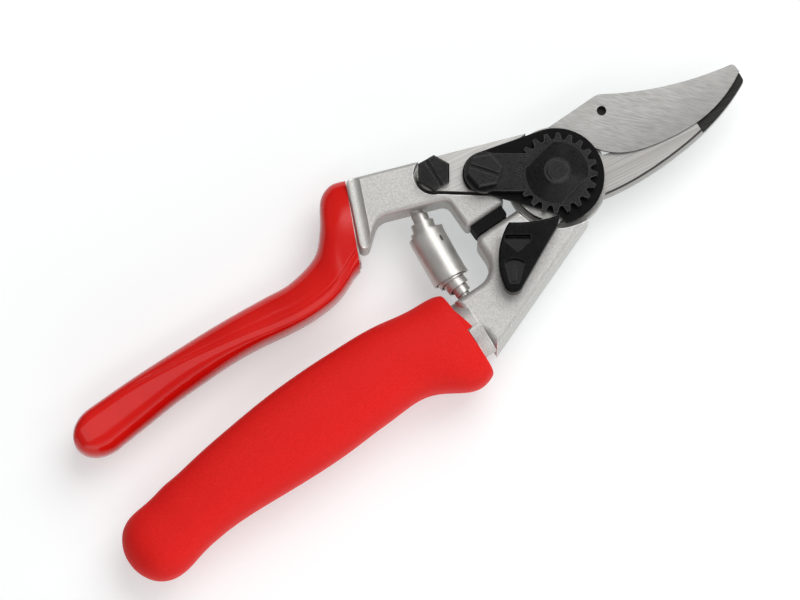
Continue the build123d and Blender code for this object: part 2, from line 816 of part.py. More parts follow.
bumper_pad.part.label = "bumper_pad"
export_step(bumper_pad.part, "parts/bumper_pad.step")

# Thumb catch

with BuildPart() as catch_washer:
    with BuildSketch(Plane(origin=(catch.X, catch.Y, deck))):
        Circle(catch_washer_radius)
        Circle(shank_radius + seat, mode=Mode.SUBTRACT)
    extrude(amount=catch_washer_thickness)

catch_washer.part.label = "catch_washer"
export_step(catch_washer.part, "parts/catch_washer.step")

plate_sweep_radius = plate_lobe + pass_gap
facing = polar(1, catch_facing)
sideways = polar(1, catch_facing - 90)


def scoop_plane(foot, fall):
    """Sloping floor of a thumb scoop, level with the catch's face at its foot."""
    origin = catch + facing * foot + Vector(0, 0, catch_top)
    lean = math.radians(fall)
    return Plane(
        origin=origin,
        x_dir=sideways,
        z_dir=facing * math.sin(lean) + Vector(0, 0, math.cos(lean)),
    )


nail_floor = scoop_plane(nail_scoop_foot, nail_scoop_fall)
thumb_floor = scoop_plane(thumb_scoop_foot, thumb_scoop_fall)
thumb_left = thumb_scoop_shift - thumb_scoop_half
thumb_right = thumb_scoop_shift + thumb_scoop_half

with BuildPart() as thumb_catch:
    with BuildSketch(Plane(origin=(catch.X, catch.Y, catch_bottom))) as catch_outline:
        with BuildLine():
            ThreePointArc(catch_crown, catch_hollow, catch_beak)
            Polyline(catch_beak, catch_beak_back, catch_tail_outer)
            ThreePointArc(catch_tail_outer, catch_tail_tip, catch_tail_inner)
            ThreePointArc(catch_tail_inner, catch_side, catch_crown)
        make_face()
        lift = catch + Vector(0, 0, catch_bottom)
        fillet(corner(catch_outline, catch_crown + lift), catch_crown_round)
        fillet(corner(catch_outline, catch_beak + lift), catch_beak_round)
        fillet(corner(catch_outline, catch_beak_back + lift), catch_crown_round)
    extrude(amount=catch_thickness)
    fillet(thumb_catch.faces().sort_by(Axis.Z)[-1].outer_wire().edges(), catch_rim_round)
    with BuildSketch(level(deck)):
        Circle(plate_sweep_radius)
    extrude(amount=plate_thickness + pass_gap, mode=Mode.SUBTRACT)
    with BuildSketch(Plane(origin=(catch.X, catch.Y, catch_bottom))):
        Circle(shank_radius + fit)
    extrude(amount=catch_hole_depth, mode=Mode.SUBTRACT)
    with BuildSketch(nail_floor):
        with BuildLine():
            Polyline(
                (-nail_scoop_half, nail_scoop_top),
                (-nail_scoop_half, nail_scoop_side),
                (0, 0),
                (nail_scoop_half, nail_scoop_side),
                (nail_scoop_half, nail_scoop_top),
                close=True,
            )
        make_face()
    extrude(amount=catch_thickness, mode=Mode.SUBTRACT)
    with BuildSketch(thumb_floor):
        with BuildLine():
            ThreePointArc(
                (thumb_left, thumb_scoop_side),
                (thumb_scoop_shift, thumb_scoop_top),
                (thumb_right, thumb_scoop_side),
            )
            Polyline(
                (thumb_right, thumb_scoop_side),
                (thumb_scoop_shift + thumb_scoop_end, 0),
                (thumb_scoop_shift - thumb_scoop_end, 0),
                (thumb_left, thumb_scoop_side),
            )
        make_face()
    extrude(amount=catch_thickness, mode=Mode.SUBTRACT)
    with BuildSketch(thumb_floor):
        with Locations((thumb_scoop_shift, thumb_scoop_side / 2)):
            SlotOverall(thumb_rib_length, thumb_rib_width, rotation=90)
    extrude(amount=thumb_rib_height)

thumb_catch.part.label = "thumb_catch"
export_step(thumb_catch.part, "parts/thumb_catch.step")

# Rotating grip: spindle, bearing tube, sleeve and their washers

collar_end = collar_face - collar_length


def round_bar(x_start, x_end, radius, bore=0):
    """Round bar or tube along the grip's axis."""
    plane = Plane(origin=(x_start, grip_axis_y, grip_axis_z), x_dir=(0, 1, 0), z_dir=(-1, 0, 0))
    with BuildPart() as bar:
        with BuildSketch(plane):
            Circle(radius)
            if bore:
                Circle(bore, mode=Mode.SUBTRACT)
        extrude(amount=x_start - x_end)
    return bar.part


liner_front = collar_end - thrust_washer_thickness - end_play
liner_end = spindle_end + end_play
liner_radius = grip_bore_radius + liner_wall
retaining_end = spindle_end - retaining_washer_thickness

with BuildPart() as grip_spindle:
    add(round_bar(collar_face + spindle_root, spindle_end, spindle_radius))
    add(
        round_bar(spindle_end + retaining_shank_length, spindle_end, retaining_shank_radius + seat),
        mode=Mode.SUBTRACT,
    )

grip_spindle.part.label = "grip_spindle"
export_step(grip_spindle.part, "parts/grip_spindle.step")

thrust_washer = round_bar(
    collar_end, collar_end - thrust_washer_thickness, thrust_washer_radius, spindle_radius + seat)
thrust_washer.label = "thrust_washer"
export_step(thrust_washer, "parts/thrust_washer.step")

grip_liner = round_bar(liner_front, liner_end, liner_radius, grip_bore_radius)
grip_liner.label = "grip_liner"
export_step(grip_liner, "parts/grip_liner.step")

retaining_washer = round_bar(
    spindle_end, retaining_end, retaining_washer_radius, retaining_shank_radius + seat)
retaining_washer.label = "retaining_washer"
export_step(retaining_washer, "parts/retaining_washer.step")

with BuildPart() as retaining_screw:
    add(round_bar(retaining_end, retaining_end - retaining_head_height, retaining_head_radius))
    add(round_bar(spindle_end + retaining_shank_length, retaining_end, retaining_shank_radius))

retaining_screw.part.label = "retaining_screw"
export_step(retaining_screw.part, "parts/retaining_screw.step")


sleeve_sections = []
for behind, side, far_side, bottom, top in sleeve_rows:
    x = sleeve_front - behind
    sleeve_sections.append((Vector(x, side), Vector(x, far_side), bottom, top, 0))
sleeve_end = rounded_end(sleeve_sections[-1], Vector(-sleeve_end_length, 0))

tab_inner = collar_radius + pass_gap
tab_outer = tab_inner + tab_thickness
tab_end = tab_start + tab_sweep
tab_plane = Plane(origin=(sleeve_front, grip_axis_y, grip_axis_z), x_dir=(0, 1, 0), z_dir=(1, 0, 0))
tab_low_y = grip_axis_y + polar(tab_outer, tab_start).X
tab_high_y = grip_axis_y + polar(tab_inner, tab_end).X

with BuildPart() as stop_tab:
    with BuildSketch(tab_plane):
        with BuildLine():
            CenterArc((0, 0), tab_outer, tab_start, tab_sweep)
            CenterArc((0, 0), tab_inner, tab_start, tab_sweep)
            Line(polar(tab_inner, tab_start), polar(tab_outer, tab_start))
            Line(polar(tab_inner, tab_end), polar(tab_outer, tab_end))
        make_face()
    extrude(amount=tab_length)
    with BuildSketch(level(0)):
        with BuildLine():
            Polyline(
                (sleeve_front, tab_low_y),
                (sleeve_front + tab_length, tab_high_y),
                (sleeve_front + 2 * tab_length, tab_high_y),
                (sleeve_front + 2 * tab_length, tab_low_y),
                close=True,
            )
        make_face()
    extrude(amount=nut_top, mode=Mode.SUBTRACT)

with BuildPart() as grip_sleeve:
    loft([grip_section(row) for row in [*sleeve_sections, *sleeve_end]])
    fillet(grip_sleeve.faces().sort_by(Axis.X)[-1].edges(), sleeve_rim_round)
    add(stop_tab.part)
    add(round_bar(sleeve_front, bore_end, liner_radius + seat), mode=Mode.SUBTRACT)
    add(
        round_bar(sleeve_front, sleeve_front - front_recess, thrust_washer_radius + pass_gap),
        mode=Mode.SUBTRACT,
    )

grip_sleeve.part.label = "grip_sleeve"
export_step(grip_sleeve.part, "parts/grip_sleeve.step")

# Spring: one strip wound from half circles, each larger than the last, with stepped ends

end_turn = math.radians(strip_end_angle)
spring_plane = Plane(
    origin=spring_top,
    x_dir=(-math.sin(end_turn), 0, math.cos(end_turn)),
    z_dir=spring_axis,
)
barrel_inside = spring_bore + turn_pitch * (spring_half_turns - barrel_half_turns) / 2 - turn_pitch / 4
barrel_outside = barrel_inside + turn_pitch * barrel_half_turns
shoulder_depth = (spring_length - barrel_length) / 2


def half_centre(half):
    """Middle of one half circle, on one side of the axis or the other in turn."""
    return (turn_pitch / 4 if half % 2 else -turn_pitch / 4), 0


def strip_radius(half):
    """Radius inside the strip on one half circle."""
    return spring_bore + turn_pitch * half / 2


with BuildPart() as spring_form:
    with BuildSketch(Plane(origin=spring_top, x_dir=spring_plane.x_dir, z_dir=spring_plane.y_dir)) as form:
        with BuildLine():
            Polyline(
                (0, 0),
                (spring_bore, 0),
                (barrel_inside, -shoulder_depth),
                (barrel_outside, -shoulder_depth),
                (barrel_outside, shoulder_depth - spring_length),
                (barrel_inside, shoulder_depth - spring_length),
                (spring_bore, -spring_length),
                (0, -spring_length),
                close=True,
            )
        make_face()
    revolve(axis=Axis(spring_top, spring_axis))

last = spring_half_turns - 1

with BuildPart() as volute_spring:
    with BuildSketch(spring_plane):
        with BuildLine():
            for half in range(spring_half_turns):
                CenterArc(half_centre(half), strip_radius(half), 180 * half, 180)
                CenterArc(half_centre(half), strip_radius(half) + strip_thickness, 180 * half, 180)
            start_edge = half_centre(0)[0] + strip_radius(0)
            Line((start_edge, 0), (start_edge + strip_thickness, 0))
            end_side = 1 if spring_half_turns % 2 == 0 else -1
            end_edge = half_centre(last)[0] + end_side * strip_radius(last)
            Line((end_edge, 0), (end_edge + end_side * strip_thickness, 0))
        make_face()
    extrude(amount=spring_length)
    add(spring_form.part, mode=Mode.INTERSECT)

volute_spring.part.label = "volute_spring"
export_step(volute_spring.part, "parts/volute_spring.step")

# Least gap of the strip to itself, between points of its middle line most of a turn apart
steps_per_half = 24
winding = []
for half in range(spring_half_turns):
    for step in range(steps_per_half):
        centre = Vector(*half_centre(half))
        winding.append(centre + polar(strip_radius(half), 180 * (half + step / steps_per_half)))
least_gap = min(
    (later - point).length - strip_thickness
    for index, point in enumerate(winding)
    for later in winding[index + 3 * steps_per_half // 2:]
)
print(f"least gap of the spring strip to itself: {least_gap:.2f} mm")
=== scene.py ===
import math

import bmesh
import bpy
from mathutils import Matrix, Vector


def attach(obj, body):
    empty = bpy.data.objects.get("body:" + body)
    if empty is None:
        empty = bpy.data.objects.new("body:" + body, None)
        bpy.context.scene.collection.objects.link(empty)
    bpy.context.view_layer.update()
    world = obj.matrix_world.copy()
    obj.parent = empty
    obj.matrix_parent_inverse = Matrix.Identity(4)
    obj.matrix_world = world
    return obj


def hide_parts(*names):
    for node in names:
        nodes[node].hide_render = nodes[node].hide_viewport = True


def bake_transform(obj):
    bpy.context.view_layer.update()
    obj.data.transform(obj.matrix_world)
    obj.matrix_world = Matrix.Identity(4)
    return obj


# Pruning shears on a white table. Metres, in the frame of the solids:
# +X from the pivot to the blade tip, +Y to the upper handle, +Z up through the nut.

MM = 0.001

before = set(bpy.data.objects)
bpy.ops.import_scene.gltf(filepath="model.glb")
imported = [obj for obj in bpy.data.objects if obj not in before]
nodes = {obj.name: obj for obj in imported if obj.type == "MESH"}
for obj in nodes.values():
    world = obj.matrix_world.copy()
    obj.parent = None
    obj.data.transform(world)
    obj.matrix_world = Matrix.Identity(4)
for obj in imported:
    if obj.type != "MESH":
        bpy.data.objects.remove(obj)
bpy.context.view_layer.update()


# Small helpers for node trees

def grey(value):
    return (value, value, value, 1)


def feed(tree, value, socket):
    """Set a socket to a constant, or link another socket to it."""
    if isinstance(value, bpy.types.NodeSocket):
        tree.links.new(value, socket)
    else:
        socket.default_value = value


def add_node(tree, kind, **settings):
    node = tree.nodes.new(kind)
    for name, value in settings.items():
        setattr(node, name, value)
    return node


def calculate(tree, operation, first, second, clamp=False):
    node = add_node(tree, "ShaderNodeMath", operation=operation, use_clamp=clamp)
    feed(tree, first, node.inputs[0])
    feed(tree, second, node.inputs[1])
    return node.outputs[0]


def combine(tree, operation, first, second):
    """Outputs of a vector operation."""
    node = add_node(tree, "ShaderNodeVectorMath", operation=operation)
    feed(tree, first, node.inputs[0])
    feed(tree, second, node.inputs[1])
    return node.outputs


def ramp(tree, value, low, high, start=0.0, end=1.0):
    """Value from low to high, moved smoothly to start to end."""
    node = add_node(tree, "ShaderNodeMapRange", interpolation_type="SMOOTHSTEP")
    for socket, given in zip(node.inputs, (value, low, high, start, end)):
        feed(tree, given, socket)
    return node.outputs[0]


def between(tree, mask, start, end):
    """Start where the mask is 0, end where it is 1."""
    return ramp(tree, mask, 0.0, 1.0, start, end)


def blend_colour(tree, mask, first, second):
    node = add_node(tree, "ShaderNodeMix", data_type="RGBA")
    for index, given in ((0, mask), (6, first), (7, second)):
        feed(tree, given, node.inputs[index])
    return node.outputs[2]


def tint(tree, skin, colour, mask, amount):
    """Skin with a share of another colour where the mask is 1."""
    return blend_colour(tree, calculate(tree, "MULTIPLY", mask, amount), skin, colour)


def noise(tree, place, scale, detail=3.0, roughness=0.6):
    node = add_node(tree, "ShaderNodeTexNoise")
    feed(tree, place, node.inputs["Vector"])
    feed(tree, scale, node.inputs["Scale"])
    node.inputs["Detail"].default_value = detail
    node.inputs["Roughness"].default_value = roughness
    return node.outputs["Fac"]


def bump(tree, height, depth, strength=1.0):
    node = add_node(tree, "ShaderNodeBump")
    feed(tree, height, node.inputs["Height"])
    feed(tree, depth, node.inputs["Distance"])
    feed(tree, strength, node.inputs["Strength"])
    return node.outputs["Normal"]


def split(tree, vector):
    node = add_node(tree, "ShaderNodeSeparateXYZ")
    feed(tree, vector, node.inputs[0])
    return node.outputs


def solid_place(tree):
    """Place on the object itself, in metres."""
    return add_node(tree, "ShaderNodeTexCoord").outputs["Object"]


def flat_normal(tree):
    return add_node(tree, "ShaderNodeNewGeometry").outputs["True Normal"]


def new_group(name, inputs, outputs):
    """Node group with float sockets. Inputs are (name, value), outputs are names."""
    group = bpy.data.node_groups.new(name, "ShaderNodeTree")
    for label, value in inputs:
        socket = group.interface.new_socket(label, in_out="INPUT", socket_type="NodeSocketFloat")
        socket.default_value = value
    for label in outputs:
        group.interface.new_socket(label, in_out="OUTPUT", socket_type="NodeSocketFloat")
    return group, add_node(group, "NodeGroupInput"), add_node(group, "NodeGroupOutput")


def use_group(tree, group, **values):
    node = add_node(tree, "ShaderNodeGroup", node_tree=group)
    for label, value in values.items():
        feed(tree, value, node.inputs[label.capitalize()])
    return node.outputs[0]


# Surface effects that several materials share

SCRATCH_STRETCH = (0.005, 1.0, 1.0)    # noise drawn out into long lines along X
WEAR_PATCHES = 400.0                   # noise scale of the worn spots along a rim


def make_grain():
    """Fine even speckle, as of a blasted or moulded surface."""
    group, given, result = new_group("grain", [("Scale", 2500.0)], ["Grain"])
    fine = noise(group, solid_place(group), given.outputs["Scale"], detail=4.0, roughness=0.7)
    feed(group, ramp(group, fine, 0.32, 0.68), result.inputs["Grain"])
    return group


def make_cloud():
    """Broad soft patches, as of handling and uneven finish."""
    group, given, result = new_group("cloud", [("Scale", 60.0)], ["Cloud"])
    broad = noise(group, solid_place(group), given.outputs["Scale"], detail=2.0, roughness=0.5)
    feed(group, ramp(group, broad, 0.3, 0.7), result.inputs["Cloud"])
    return group


def make_brushing():
    """Long fine scratches in one direction on the flat of a part."""
    group, given, result = new_group("brushing", [("Angle", 0.0), ("Lines", 4000.0)], ["Brushing"])
    turned = add_node(group, "ShaderNodeVectorRotate", rotation_type="Z_AXIS")
    feed(group, solid_place(group), turned.inputs["Vector"])
    feed(group, given.outputs["Angle"], turned.inputs["Angle"])
    drawn = combine(group, "MULTIPLY", turned.outputs[0], SCRATCH_STRETCH)
    lines = noise(group, drawn["Vector"], given.outputs["Lines"], roughness=0.65)
    feed(group, ramp(group, lines, 0.3, 0.7), result.inputs["Brushing"])
    return group


def make_rim_wear_and_highlight():
    """Mask of the rims, where handling has polished them and where a painted highlight brightens them."""
    group, given, result = new_group("rim_wear_and_highlight", [("Radius", 0.5 * MM)], ["Wear"])
    rounded = add_node(group, "ShaderNodeBevel", samples=6)
    feed(group, given.outputs["Radius"], rounded.inputs["Radius"])
    facing = combine(group, "DOT_PRODUCT", rounded.outputs[0], flat_normal(group))
    rim = ramp(group, facing["Value"], 0.995, 0.9)
    patches = ramp(group, noise(group, solid_place(group), WEAR_PATCHES), 0.25, 0.6, 0.35, 1.0)
    feed(group, calculate(group, "MULTIPLY", rim, patches, clamp=True), result.inputs["Wear"])
    return group


GRAIN = make_grain()
CLOUD = make_cloud()
BRUSHING = make_brushing()
RIM_WEAR_AND_HIGHLIGHT = make_rim_wear_and_highlight()


# Materials, one for each finish of the shears

ALUMINIUM_DARK = (0.46, 0.451, 0.432, 1)
ALUMINIUM_LIGHT = (0.62, 0.611, 0.592, 1)
ALUMINIUM_PATCH = (0.46, 0.45, 0.43, 1)
ALUMINIUM_RIM_WEAR_AND_HIGHLIGHT = (0.80, 0.79, 0.77, 1)

BLADE_DARK = (0.385, 0.379, 0.366, 1)
BLADE_LIGHT = (0.55, 0.543, 0.525, 1)
BLADE_SCRATCH = (0.32, 0.316, 0.304, 1)
BLADE_PATCH = (0.64, 0.633, 0.612, 1)
BLADE_EDGE_SHADE = (0.17, 0.167, 0.16, 1)
BLADE_SIDE_SHADE = (0.09, 0.075, 0.07, 1)
BLADE_HOLE_SHADE = (0.020, 0.019, 0.018, 1)
FINE_SCRATCH_ANGLE = math.radians(47)
COARSE_SCRATCH_ANGLE = math.radians(51)
EDGE_SHADE_TOP = 15.2 * MM       # painted shade darkens the blade's face from this height
EDGE_SHADE_FOOT = 13.0 * MM      # down to this height at the edge
BLADE_HOLE = Vector((19.1, 7.4, 0)) * MM
BLADE_HOLE_RADIUS = 1.3 * MM    # the hole and its rim, painted dark as shade
BLADE_HOLE_BLUR = 0.15 * MM

HOOK_DARK = (0.28, 0.274, 0.262, 1)
HOOK_LIGHT = (0.42, 0.411, 0.394, 1)
TANG_DARK = (0.42, 0.411, 0.394, 1)
TANG_LIGHT = (0.57, 0.56, 0.54, 1)
CHAMFER_LIGHT = (0.30, 0.295, 0.285, 1)
CHAMFER_DARK = (0.045, 0.043, 0.041, 1)
TIP_DARK = (0.010, 0.0096, 0.0092, 1)
TIP_LIGHT = (0.028, 0.027, 0.026, 1)
HOOK_SCRATCH_ANGLE = math.radians(8)
HOOK_ROOT = 6.0 * MM        # from this x to as far behind the pivot the tang grows brighter
HOOK_STEP = 37.8 * MM       # the hook's tip is dark beyond this x
STEP_BLUR = 0.02 * MM
CHAMFER_LINE = 12.0 * MM    # the hook's chamfer is dark above this height
CHAMFER_BLUR = 0.03 * MM

GLOSS_DARK = (0.64, 0.005, 0.003, 1)
GLOSS_LIGHT = (0.71, 0.008, 0.005, 1)
MATTE_DARK = (0.74, 0.013, 0.011, 1)
MATTE_LIGHT = (0.84, 0.020, 0.017, 1)
MATTE_PATCH = (0.72, 0.012, 0.010, 1)

NICKEL_DARK = (0.54, 0.53, 0.50, 1)
NICKEL_LIGHT = (0.61, 0.60, 0.57, 1)
NICKEL_SPECK = (0.46, 0.445, 0.42, 1)
BRONZE_DARK = (0.50, 0.36, 0.16, 1)
BRONZE_LIGHT = (0.62, 0.46, 0.23, 1)
LINER_DARK = (0.08, 0.08, 0.09, 1)
LINER_LIGHT = (0.12, 0.12, 0.13, 1)


def new_material(name):
    material = bpy.data.materials.new(name)
    material.use_nodes = True
    return material, material.node_tree, material.node_tree.nodes["Principled BSDF"]


def finish_shader(tree, shader, **values):
    """Feed the shader's sockets, named in small letters with underscores."""
    for label, value in values.items():
        feed(tree, value, shader.inputs[label.replace("_", " ").title().replace("Ior", "IOR")])


def make_forged_aluminium():
    """Fine-blasted forging, brighter on its rims: partly wear, partly a painted highlight."""
    material, tree, shader = new_material("forged_aluminium")
    grain = use_group(tree, GRAIN, scale=2600.0)
    cloud = use_group(tree, CLOUD, scale=70.0)
    wear_and_highlight = use_group(tree, RIM_WEAR_AND_HIGHLIGHT, radius=0.7 * MM)
    skin = blend_colour(tree, grain, ALUMINIUM_DARK, ALUMINIUM_LIGHT)
    skin = tint(tree, skin, ALUMINIUM_PATCH, cloud, 0.18)
    # Brighter rims: partly wear, partly a painted highlight.
    skin = tint(tree, skin, ALUMINIUM_RIM_WEAR_AND_HIGHLIGHT, wear_and_highlight, 0.8)
    finish_shader(tree, shader, base_color=skin, metallic=0.75, roughness=between(tree, wear_and_highlight, 0.50, 0.28),
                  normal=bump(tree, grain, 0.03 * MM, 0.7))
    return material


def make_blade_steel():
    """Ground steel with scratches across the blade, and painted shade toward the cutting edge, on the
    sides and in the hole.
    """
    material, tree, shader = new_material("blade_steel")
    fine = use_group(tree, BRUSHING, angle=FINE_SCRATCH_ANGLE, lines=3200.0)
    coarse = use_group(tree, BRUSHING, angle=COARSE_SCRATCH_ANGLE, lines=1800.0)
    cloud = use_group(tree, CLOUD, scale=45.0)
    place = solid_place(tree)
    height = split(tree, place)["Z"]
    upward = split(tree, flat_normal(tree))["Z"]
    seen_flat = combine(tree, "MULTIPLY", place, (1, 1, 0))["Vector"]
    from_hole = combine(tree, "DISTANCE", seen_flat, BLADE_HOLE)["Value"]
    skin = blend_colour(tree, fine, BLADE_DARK, BLADE_LIGHT)
    skin = tint(tree, skin, BLADE_SCRATCH, coarse, 0.22)
    skin = tint(tree, skin, BLADE_PATCH, cloud, 0.15)
    # Painted shade: the face darkens toward the cutting edge.
    skin = blend_colour(tree, ramp(tree, height, EDGE_SHADE_TOP, EDGE_SHADE_FOOT, 0.0, 0.45), skin, BLADE_EDGE_SHADE)
    # Painted shade on the faces that turn away from upright.
    skin = blend_colour(tree, ramp(tree, upward, 0.5, 0.1), skin, BLADE_SIDE_SHADE)
    # Painted shade fills the hole out past its rim.
    hole_shade = ramp(tree, from_hole, BLADE_HOLE_RADIUS, BLADE_HOLE_RADIUS - BLADE_HOLE_BLUR)
    skin = blend_colour(tree, hole_shade, skin, BLADE_HOLE_SHADE)
    finish_shader(tree, shader, base_color=skin, metallic=0.8, roughness=between(tree, fine, 0.34, 0.46),
                  normal=bump(tree, fine, 0.02 * MM, 0.2))
    return material


def make_anvil_steel():
    """Satin hook, darker on its tip and its outer chamfer, with a bright tang."""
    material, tree, shader = new_material("anvil_steel")
    fine = use_group(tree, BRUSHING, angle=HOOK_SCRATCH_ANGLE, lines=3200.0)
    grain = use_group(tree, GRAIN, scale=2600.0)
    place = split(tree, solid_place(tree))
    upward = split(tree, flat_normal(tree))["Z"]
    hook_skin = blend_colour(tree, fine, HOOK_DARK, HOOK_LIGHT)
    tang_skin = blend_colour(tree, fine, TANG_DARK, TANG_LIGHT)
    tip_skin = blend_colour(tree, fine, TIP_DARK, TIP_LIGHT)
    above_line = ramp(tree, place["Z"], CHAMFER_LINE - CHAMFER_BLUR, CHAMFER_LINE + CHAMFER_BLUR)
    chamfer_skin = blend_colour(tree, above_line, CHAMFER_LIGHT, CHAMFER_DARK)
    sloped = calculate(tree, "MULTIPLY", ramp(tree, upward, 0.2, 0.4), ramp(tree, upward, 0.95, 0.85))
    past_step = ramp(tree, place["X"], HOOK_STEP - STEP_BLUR, HOOK_STEP + STEP_BLUR)
    tip = calculate(tree, "MULTIPLY", past_step, ramp(tree, upward, 0.1, 0.3))
    skin = blend_colour(tree, ramp(tree, place["X"], HOOK_ROOT, -HOOK_ROOT), hook_skin, tang_skin)
    skin = blend_colour(tree, sloped, skin, chamfer_skin)
    skin = blend_colour(tree, tip, skin, tip_skin)
    finish_shader(tree, shader, base_color=skin, metallic=0.75, roughness=between(tree, grain, 0.36, 0.46),
                  normal=bump(tree, fine, 0.02 * MM, 0.5))
    return material


def make_black_steel(name, light, sheen, rough_low, rough_high):
    """Black oxide, a little grey on its edges: partly wear, partly a painted highlight."""
    material, tree, shader = new_material(name)
    grain = use_group(tree, GRAIN, scale=1800.0)
    cloud = use_group(tree, CLOUD, scale=140.0)
    wear_and_highlight = use_group(tree, RIM_WEAR_AND_HIGHLIGHT, radius=0.35 * MM)
    skin = blend_colour(tree, grain, grey(0.45 * light), grey(1.3 * light))
    # Greyer edges: partly wear, partly a painted highlight.
    skin = tint(tree, skin, grey(9 * light), wear_and_highlight, 0.7)
    finish_shader(tree, shader, base_color=skin, roughness=between(tree, cloud, rough_low, rough_high),
                  specular_ior_level=sheen, normal=bump(tree, grain, 0.02 * MM, 0.4))
    return material


def make_gloss_red():
    """Dipped vinyl: smooth and glossy over a slight waviness."""
    material, tree, shader = new_material("grip_red_gloss")
    waves = use_group(tree, CLOUD, scale=55.0)
    grain = use_group(tree, GRAIN, scale=1400.0)
    skin = blend_colour(tree, waves, GLOSS_DARK, GLOSS_LIGHT)
    height = calculate(tree, "ADD", waves, calculate(tree, "MULTIPLY", grain, 0.08))
    finish_shader(tree, shader, base_color=skin, roughness=between(tree, grain, 0.13, 0.18),
                  specular_ior_level=0.3, normal=bump(tree, height, 0.02 * MM))
    return material


def make_matte_red():
    """Moulded grip with a fine matte texture."""
    material, tree, shader = new_material("grip_red_matte")
    grain = use_group(tree, GRAIN, scale=2200.0)
    waves = use_group(tree, CLOUD, scale=40.0)
    skin = blend_colour(tree, grain, MATTE_DARK, MATTE_LIGHT)
    skin = tint(tree, skin, MATTE_PATCH, waves, 0.25)
    finish_shader(tree, shader, base_color=skin, roughness=between(tree, grain, 0.46, 0.58),
                  specular_ior_level=0.10, normal=bump(tree, grain, 0.03 * MM, 0.5))
    return material


def make_spring_nickel():
    """Plated strip with a satin skin, uneven in broad patches and finely speckled."""
    material, tree, shader = new_material("spring_nickel")
    grain = use_group(tree, GRAIN, scale=2200.0)
    cloud = use_group(tree, CLOUD, scale=160.0)
    skin = blend_colour(tree, cloud, NICKEL_DARK, NICKEL_LIGHT)
    skin = tint(tree, skin, NICKEL_SPECK, grain, 0.15)
    finish_shader(tree, shader, base_color=skin, metallic=0.7, roughness=between(tree, cloud, 0.34, 0.42),
                  normal=bump(tree, grain, 0.01 * MM, 0.25))
    return material


def make_plain(name, dark, light, metallic, rough_low, rough_high, sheen=0.5):
    """Small piece of one colour with a fine grain."""
    material, tree, shader = new_material(name)
    grain = use_group(tree, GRAIN, scale=2000.0)
    skin = blend_colour(tree, grain, dark, light)
    finish_shader(tree, shader, base_color=skin, metallic=metallic,
                  roughness=between(tree, grain, rough_low, rough_high),
                  specular_ior_level=sheen, normal=bump(tree, grain, 0.02 * MM, 0.4))
    return material


# Each finish with the pieces that wear it
DRESS = {
    "forged_aluminium": (make_forged_aluminium(), ["upper_handle", "lower_arm"]),
    "blade_steel": (make_blade_steel(), ["cutting_blade"]),
    "anvil_steel": (make_anvil_steel(), ["anvil_blade"]),
    "black_steel": (
        make_black_steel("black_steel", 0.012, 0.22, 0.20, 0.32),
        ["anvil_screw", "toothed_segment", "segment_screw", "adjusting_nut", "pivot_bolt",
         "catch_screw"],
    ),
    "plate_black": (make_black_steel("plate_black", 0.004, 0.07, 0.30, 0.42), ["lock_plate"]),
    "catch_black": (make_black_steel("catch_black", 0.006, 0.10, 0.18, 0.28), ["thumb_catch"]),
    "bolt_steel": (
        make_plain("bolt_steel", grey(0.46), grey(0.60), 1.0, 0.28, 0.40),
        ["blade_rivets", "catch_washer", "grip_spindle", "thrust_washer", "retaining_washer",
         "retaining_screw"],
    ),
    "bush_bronze": (
        make_plain("bush_bronze", BRONZE_DARK, BRONZE_LIGHT, 1.0, 0.35, 0.5),
        ["pivot_bush"],
    ),
    "spring_nickel": (make_spring_nickel(), ["volute_spring"]),
    "grip_red_gloss": (make_gloss_red(), ["upper_grip_coating"]),
    "grip_red_matte": (make_matte_red(), ["grip_sleeve"]),
    "liner_plastic": (
        make_plain("liner_plastic", LINER_DARK, LINER_LIGHT, 0.0, 0.5, 0.6),
        ["grip_liner"],
    ),
    "bumper_rubber": (
        make_plain("bumper_rubber", grey(0.006), grey(0.014), 0.0, 0.7, 0.8, sheen=0.08),
        ["bumper_pad"],
    ),
}

for material, names in DRESS.values():
    for name in names:
        nodes[name].data.materials.clear()
        nodes[name].data.materials.append(material)


def add_piece(shape, name, material, crease):
    """Object made from a bmesh, shaded smooth up to the crease angle."""
    mesh = bpy.data.meshes.new(name)
    shape.to_mesh(mesh)
    shape.free()
    mesh.shade_smooth()
    mesh.set_sharp_from_angle(angle=crease)
    mesh.materials.append(material)
    piece = bpy.data.objects.new(name, mesh)
    bpy.context.scene.collection.objects.link(piece)
    return piece


# Spring: a strip wound as a volute, wide in the middle and drawn out in steps at both ends

SPRING_TOP = Vector((-34.70, 12.84, 9.3)) * MM
SPRING_FOOT = Vector((-36.9, -11.5, 9.3)) * MM
SPRING_BOW = Vector((-1.0, 0, 0)) * MM    # the wound strip leans out between the arms
BOW_SHARE = 0.3           # share of the length over which the bow sets in at each end
STRIP_THICKNESS = 0.45 * MM
INNER_RADIUS = 2.1 * MM
OUTER_RADIUS = 5.1 * MM
BARREL_LENGTH = 13.6 * MM
HALF_TURNS = 7
BARREL_HALF_TURNS = 2
STEPS_PER_HALF = 40
STRIP_ROWS = 36
STRIP_END = math.radians(-25)             # where the strip's outer end lies, from +X up
STRIP_CREASE = math.radians(40)
EYE_ANGLE = math.radians(52)              # slot in the barrel, from +X up
EYE_PLACE = 0.36          # share of the way down the spring
EYE_HALF_LENGTH = 1.0 * MM
EYE_HALF_WIDTH = 0.45 * MM


def smooth(value):
    value = min(max(value, 0), 1)
    return value * value * (3 - 2 * value)


def spring_point(share, angle, radius):
    """Point of the spring, a share of the way down and at an angle and radius round its axis."""
    down = (SPRING_FOOT - SPRING_TOP).normalized()
    up = Vector((0, 0, 1))
    side = up.cross(down)
    bow = SPRING_BOW * smooth(share / BOW_SHARE) * smooth((1 - share) / BOW_SHARE)
    middle = SPRING_TOP.lerp(SPRING_FOOT, share) + bow
    return middle + (side * math.cos(angle) + up * math.sin(angle)) * radius


